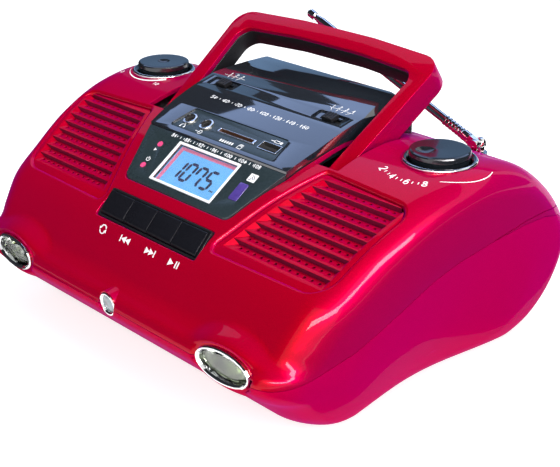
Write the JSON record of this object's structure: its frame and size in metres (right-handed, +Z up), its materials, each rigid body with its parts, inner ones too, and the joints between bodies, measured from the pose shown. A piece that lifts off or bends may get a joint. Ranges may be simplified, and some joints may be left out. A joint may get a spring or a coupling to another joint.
{
  "type": "portable emergency radio",
  "caption": "Portable radio with louvred speakers, sloping display, piano keys, two knobs, torch lamps, a folding carry handle and a telescopic aerial.",
  "frame": {"origin": "middle of the footprint, on the surface that the feet stand on", "axes": "+X to the user's right as seen from the front, -Y the front with the lamps, +Z up"},
  "size_m": [0.2632, 0.216, 0.1516],
  "materials": {
    "gloss_red": "metallic candy red, high gloss",
    "satin_red": "metallic red, satin",
    "grille_red": "metallic red, semi gloss",
    "panel_gloss": "mirror gloss black",
    "panel_dark": "gloss charcoal",
    "white_print": "white",
    "clear_window": "clear acrylic",
    "lcd_blue": "backlit liquid crystal",
    "bright_metal": "nickel plate",
    "led_red": "translucent red",
    "ir_violet": "dark violet infrared filter",
    "black_plastic": "satin black",
    "key_black": "semi gloss black",
    "knob_black": "gloss black",
    "steel": "zinc plate",
    "circuit_green": "solder mask",
    "chrome": "bright chrome",
    "white_plastic": "natural",
    "paper_black": "black paper cone",
    "mirror": "vacuum metallised",
    "clear_lens": "clear polycarbonate",
    "led_white": "epoxy",
    "grey_lens": "smoked grey",
    "ferrite": "ferrite",
    "copper_winding": "varnished copper",
    "rubber": "matte"
  },
  "bodies": {
    "root": {"top_shell": "gloss_red", "bottom_shell": "satin_red", "left_grille": "grille_red", "right_grille": "grille_red", "bridge_cover": "panel_gloss", "display_panel": "panel_dark", "lcd_bezel": "white_print", "lcd_window": "clear_window", "lcd_module": "lcd_blue", "jack_strip": "panel_dark", "phones_jack": "bright_metal", "aux_jack": "bright_metal", "card_socket": "bright_metal", "usb_socket": "bright_metal", "indicator_leds": "led_red", "ir_window": "ir_violet", "switch_bodies": "steel", "key_frame": "black_plastic", "key_board": "circuit_green", "volume_trim": "chrome", "tuning_trim": "chrome", "volume_pot": "steel", "tuning_capacitor": "white_plastic", "left_speaker": "steel", "right_speaker": "steel", "speaker_cones": "paper_black", "left_lamp_bezel": "chrome", "right_lamp_bezel": "chrome", "left_lamp_reflector": "mirror", "right_lamp_reflector": "mirror", "left_lamp_lens": "clear_lens", "right_lamp_lens": "clear_lens", "lamp_leds": "led_white", "middle_lamp_bezel": "chrome", "middle_lamp_lens": "grey_lens", "handle_brackets": "steel", "aerial_socket": "chrome", "ferrite_rod": "ferrite", "main_board": "circuit_green", "transformer": "copper_winding", "battery_contacts": "steel", "feet": "rubber", "screws": "steel", "ac_inlet": "black_plastic"},
    "handle": {"handle_frame": "gloss_red", "handle_lining": "black_plastic"},
    "volume_knob_body": {"volume_knob": "knob_black"},
    "tuning_knob_body": {"tuning_knob": "knob_black"},
    "key_1_body": {"key_1": "key_black"},
    "key_2_body": {"key_2": "key_black"},
    "key_3_body": {"key_3": "key_black"},
    "key_4_body": {"key_4": "key_black"},
    "function_slider": {"function_switch": "black_plastic"},
    "band_slider": {"band_switch": "black_plastic"},
    "aerial_swivel_body": {"aerial_base": "chrome"},
    "aerial_outer": {"aerial_tube_1": "chrome"},
    "aerial_second": {"aerial_tube_2": "chrome"},
    "aerial_third": {"aerial_tube_3": "chrome"},
    "aerial_inner": {"aerial_rod": "chrome"},
    "battery_cover": {"battery_door": "black_plastic"}
  },
  "joints": [
    {"name": "handle_pivot", "type": "hinge", "parent": "root", "child": "handle", "pos_m": [0, -0.017, 0.0943], "axis": [1, 0, 0], "range_deg": [0, 50]},
    {"name": "volume_turn", "type": "hinge", "parent": "root", "child": "volume_knob_body", "pos_m": [-0.1018, 0.0125, 0.1178], "axis": [0, 0, 1], "range_deg": [-150, 150]},
    {"name": "tuning_turn", "type": "hinge", "parent": "root", "child": "tuning_knob_body", "pos_m": [0.1018, 0.0125, 0.1178], "axis": [0, 0, 1], "range_deg": [-90, 90]},
    {"name": "key_1_press", "type": "slide", "parent": "root", "child": "key_1_body", "axis": [0, 0.7193, -0.6947], "range_m": [0, 0.0015], "stiffness_N_per_m": 300, "springref_m": -0.001},
    {"name": "key_2_press", "type": "slide", "parent": "root", "child": "key_2_body", "axis": [0, 0.7193, -0.6947], "range_m": [0, 0.0015], "stiffness_N_per_m": 300, "springref_m": -0.001},
    {"name": "key_3_press", "type": "slide", "parent": "root", "child": "key_3_body", "axis": [0, 0.7193, -0.6947], "range_m": [0, 0.0015], "stiffness_N_per_m": 300, "springref_m": -0.001},
    {"name": "key_4_press", "type": "slide", "parent": "root", "child": "key_4_body", "axis": [0, 0.7193, -0.6947], "range_m": [0, 0.0015], "stiffness_N_per_m": 300, "springref_m": -0.001},
    {"name": "function_slide", "type": "slide", "parent": "root", "child": "function_slider", "axis": [1, 0, 0], "range_m": [-0.004, 0.004]},
    {"name": "band_slide", "type": "slide", "parent": "root", "child": "band_slider", "axis": [1, 0, 0], "range_m": [-0.004, 0.004]},
    {"name": "aerial_swivel", "type": "hinge", "parent": "root", "child": "aerial_swivel_body", "pos_m": [0.086, 0.06138, 0.09882], "axis": [0, 0, 1], "range_deg": [-180, 0]},
    {"name": "aerial_elbow", "type": "hinge", "parent": "aerial_swivel_body", "child": "aerial_outer", "pos_m": [0.086, 0.06138, 0.10342], "axis": [0, 1, 0], "range_deg": [0, 150]},
    {"name": "aerial_pull_1", "type": "slide", "parent": "aerial_outer", "child": "aerial_second", "axis": [-0.9317, 0, 0.3633], "range_m": [0, 0.09]},
    {"name": "aerial_pull_2", "type": "slide", "parent": "aerial_second", "child": "aerial_third", "axis": [-0.9317, 0, 0.3633], "range_m": [0, 0.09]},
    {"name": "aerial_pull_3", "type": "slide", "parent": "aerial_third", "child": "aerial_inner", "axis": [-0.9317, 0, 0.3633], "range_m": [0, 0.09]},
    {"name": "battery_cover_slide", "type": "slide", "parent": "root", "child": "battery_cover", "axis": [0, 1, 0], "range_m": [0, 0.075]}
  ]
}
